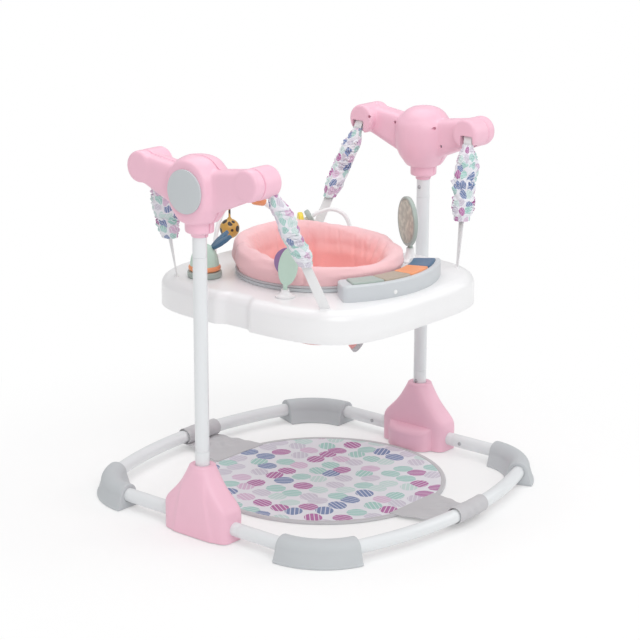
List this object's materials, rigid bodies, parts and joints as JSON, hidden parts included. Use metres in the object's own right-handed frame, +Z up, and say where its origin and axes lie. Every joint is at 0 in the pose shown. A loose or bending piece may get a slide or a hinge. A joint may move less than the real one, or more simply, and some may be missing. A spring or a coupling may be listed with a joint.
{
  "type": "baby jumper frame",
  "caption": "Freestanding baby jumper: a play tray with a turning padded seat hangs on sprung straps between two posts on a bent tube base with a floor mat.",
  "frame": {"origin": "on the floor under the middle of the frame's bounding box", "axes": "+X from the left post to the right post, +Y from the keyboard to the back of the seat, +Z up from the floor"},
  "size_m": [0.9158, 0.88, 0.8656],
  "materials": {
    "white_tube": "white powder coat on steel tube",
    "bare_steel": "plated steel",
    "pink_plastic": "soft satin pink moulding",
    "white_plastic": "glossy white moulding",
    "grey_rubber": "matte light grey rubber",
    "grey_plastic": "matte light grey moulding",
    "white_web": "white woven webbing",
    "print_cloth": "pale cloth with rounded motifs",
    "grey_cloth": "plain grey cloth",
    "salmon_cloth": "padded salmon pink cloth",
    "pale_plastic": "pale blue grey moulding",
    "sage_plastic": "grey green moulding",
    "beige_plastic": "beige moulding",
    "orange_plastic": "soft orange moulding",
    "blue_plastic": "slate blue moulding",
    "mint_plastic": "pale mint moulding",
    "purple_plastic": "muted purple moulding",
    "yellow_plastic": "yellow moulding",
    "gold_plastic": "gold moulding with dark bands",
    "mirror_film": "acrylic mirror"
  },
  "bodies": {
    "frame": {"front_base_tube": "white_tube", "back_base_tube": "white_tube", "left_foot_frame": "white_tube", "right_foot_frame": "white_tube", "left_foot_cover": "pink_plastic", "right_foot_cover": "pink_plastic", "front_left_pad": "grey_rubber", "front_right_pad": "grey_rubber", "back_left_pad": "grey_rubber", "back_right_pad": "grey_rubber", "left_post": "white_tube", "right_post": "white_tube", "head_tubes": "white_tube", "left_head_outer": "pink_plastic", "left_head_inner": "pink_plastic", "right_head_outer": "pink_plastic", "right_head_inner": "pink_plastic", "head_caps": "grey_plastic", "head_screws": "bare_steel", "strap_pins": "bare_steel", "upper_straps": "white_web", "springs": "bare_steel", "front_left_spring_cover": "print_cloth", "front_right_spring_cover": "print_cloth", "back_left_spring_cover": "print_cloth", "back_right_spring_cover": "print_cloth", "play_mat": "print_cloth", "mat_tabs": "grey_cloth"},
    "left_head_button": {"left_head_button": "bare_steel"},
    "right_head_button": {"right_head_button": "bare_steel"},
    "left_foot_button": {"left_foot_button": "bare_steel"},
    "right_foot_button": {"right_foot_button": "bare_steel"},
    "front_left_base_button": {"front_left_base_button": "bare_steel"},
    "front_right_base_button": {"front_right_base_button": "bare_steel"},
    "back_left_base_button": {"back_left_base_button": "bare_steel"},
    "back_right_base_button": {"back_right_base_button": "bare_steel"},
    "tray": {"tray": "white_plastic", "tray_straps": "white_web", "toy_arch": "white_plastic", "toy_mounts": "white_plastic", "bird_base": "sage_plastic", "keyboard_housing": "pale_plastic"},
    "seat": {"seat_ring": "grey_plastic", "seat_fabric": "salmon_cloth"},
    "grey_key": {"grey_key": "sage_plastic"},
    "beige_key": {"beige_key": "beige_plastic"},
    "orange_key": {"orange_key": "orange_plastic"},
    "blue_key": {"blue_key": "blue_plastic"},
    "keyboard_button": {"keyboard_button": "white_plastic"},
    "mirror": {"mirror_frame": "sage_plastic", "mirror_face": "mirror_film"},
    "leaf_toy": {"leaf": "mint_plastic", "petal": "purple_plastic"},
    "bird": {"bird_body": "mint_plastic", "bird_wing": "blue_plastic", "bird_ring": "orange_plastic"},
    "yellow_bead": {"yellow_bead": "yellow_plastic"},
    "green_bead": {"green_bead": "sage_plastic"},
    "orange_bead": {"orange_bead": "orange_plastic"},
    "bug": {"bug_ball": "gold_plastic"}
  },
  "joints": [
    {"name": "tray_bounce", "type": "slide", "parent": "frame", "child": "tray", "axis": [0, 0, 1], "range_m": [-0.1, 0.04], "stiffness_N_per_m": 800, "springref_m": 0.0662, "deforming": ["springs", "front_left_spring_cover", "front_right_spring_cover", "back_left_spring_cover", "back_right_spring_cover"]},
    {"name": "seat_swivel", "type": "hinge", "parent": "tray", "child": "seat", "pos_m": [0, 0, 0.528], "axis": [0, 0, 1], "continuous": true},
    {"name": "left_head_button_press", "type": "slide", "parent": "frame", "child": "left_head_button", "axis": [-1, 0, 0], "range_m": [0, 0.004], "stiffness_N_per_m": 1000, "springref_m": -0.001},
    {"name": "right_head_button_press", "type": "slide", "parent": "frame", "child": "right_head_button", "axis": [1, 0, 0], "range_m": [0, 0.004], "stiffness_N_per_m": 1000, "springref_m": -0.001},
    {"name": "left_foot_button_press", "type": "slide", "parent": "frame", "child": "left_foot_button", "axis": [-1, 0, 0], "range_m": [0, 0.004], "stiffness_N_per_m": 1000, "springref_m": -0.001},
    {"name": "right_foot_button_press", "type": "slide", "parent": "frame", "child": "right_foot_button", "axis": [1, 0, 0], "range_m": [0, 0.004], "stiffness_N_per_m": 1000, "springref_m": -0.001},
    {"name": "front_left_base_button_press", "type": "slide", "parent": "frame", "child": "front_left_base_button", "axis": [-1, 0, 0], "range_m": [0, 0.004], "stiffness_N_per_m": 1000, "springref_m": -0.001},
    {"name": "front_right_base_button_press", "type": "slide", "parent": "frame", "child": "front_right_base_button", "axis": [1, 0, 0], "range_m": [0, 0.004], "stiffness_N_per_m": 1000, "springref_m": -0.001},
    {"name": "back_left_base_button_press", "type": "slide", "parent": "frame", "child": "back_left_base_button", "axis": [-1, 0, 0], "range_m": [0, 0.004], "stiffness_N_per_m": 1000, "springref_m": -0.001},
    {"name": "back_right_base_button_press", "type": "slide", "parent": "frame", "child": "back_right_base_button", "axis": [1, 0, 0], "range_m": [0, 0.004], "stiffness_N_per_m": 1000, "springref_m": -0.001},
    {"name": "grey_key_press", "type": "slide", "parent": "tray", "child": "grey_key", "axis": [0, 0, -1], "range_m": [0, 0.004], "stiffness_N_per_m": 300, "springref_m": -0.003},
    {"name": "beige_key_press", "type": "slide", "parent": "tray", "child": "beige_key", "axis": [0, 0, -1], "range_m": [0, 0.004], "stiffness_N_per_m": 300, "springref_m": -0.003},
    {"name": "orange_key_press", "type": "slide", "parent": "tray", "child": "orange_key", "axis": [0, 0, -1], "range_m": [0, 0.004], "stiffness_N_per_m": 300, "springref_m": -0.003},
    {"name": "blue_key_press", "type": "slide", "parent": "tray", "child": "blue_key", "axis": [0, 0, -1], "range_m": [0, 0.004], "stiffness_N_per_m": 300, "springref_m": -0.003},
    {"name": "keyboard_button_press", "type": "slide", "parent": "tray", "child": "keyboard_button", "axis": [0.225, 0.9744, 0], "range_m": [0, 0.002], "stiffness_N_per_m": 300, "springref_m": -0.001},
    {"name": "mirror_swivel", "type": "hinge", "parent": "tray", "child": "mirror", "pos_m": [0.21391, -0.10433, 0.561], "axis": [0, 0, 1], "range_deg": [-25, 25]},
    {"name": "leaf_swivel", "type": "hinge", "parent": "tray", "child": "leaf_toy", "pos_m": [-0.22067, -0.08916, 0.545], "axis": [0, 0, 1], "range_deg": [-30, 30]},
    {"name": "bird_spin", "type": "hinge", "parent": "tray", "child": "bird", "pos_m": [-0.20555, 0.16884, 0.543], "axis": [0, 0, 1], "range_deg": [-60, 60]},
    {"name": "yellow_bead_spin", "type": "hinge", "parent": "tray", "child": "yellow_bead", "pos_m": [0.18436, 0.21195, 0.58507], "axis": [-0.7614, 0.6481, -0.0183], "continuous": true},
    {"name": "green_bead_spin", "type": "hinge", "parent": "tray", "child": "green_bead", "pos_m": [0.20144, 0.19606, 0.59177], "axis": [-0.6032, 0.6225, -0.4986], "continuous": true},
    {"name": "orange_bead_spin", "type": "hinge", "parent": "tray", "child": "orange_bead", "pos_m": [0.09449, 0.26468, 0.64283], "axis": [-0.8067, 0.2849, 0.5177], "continuous": true},
    {"name": "bug_swing", "type": "hinge", "parent": "tray", "child": "bug", "pos_m": [0.00314, 0.28098, 0.64832], "axis": [-0.8959, 0.0209, -0.4438], "range_deg": [-35, 35]}
  ]
}
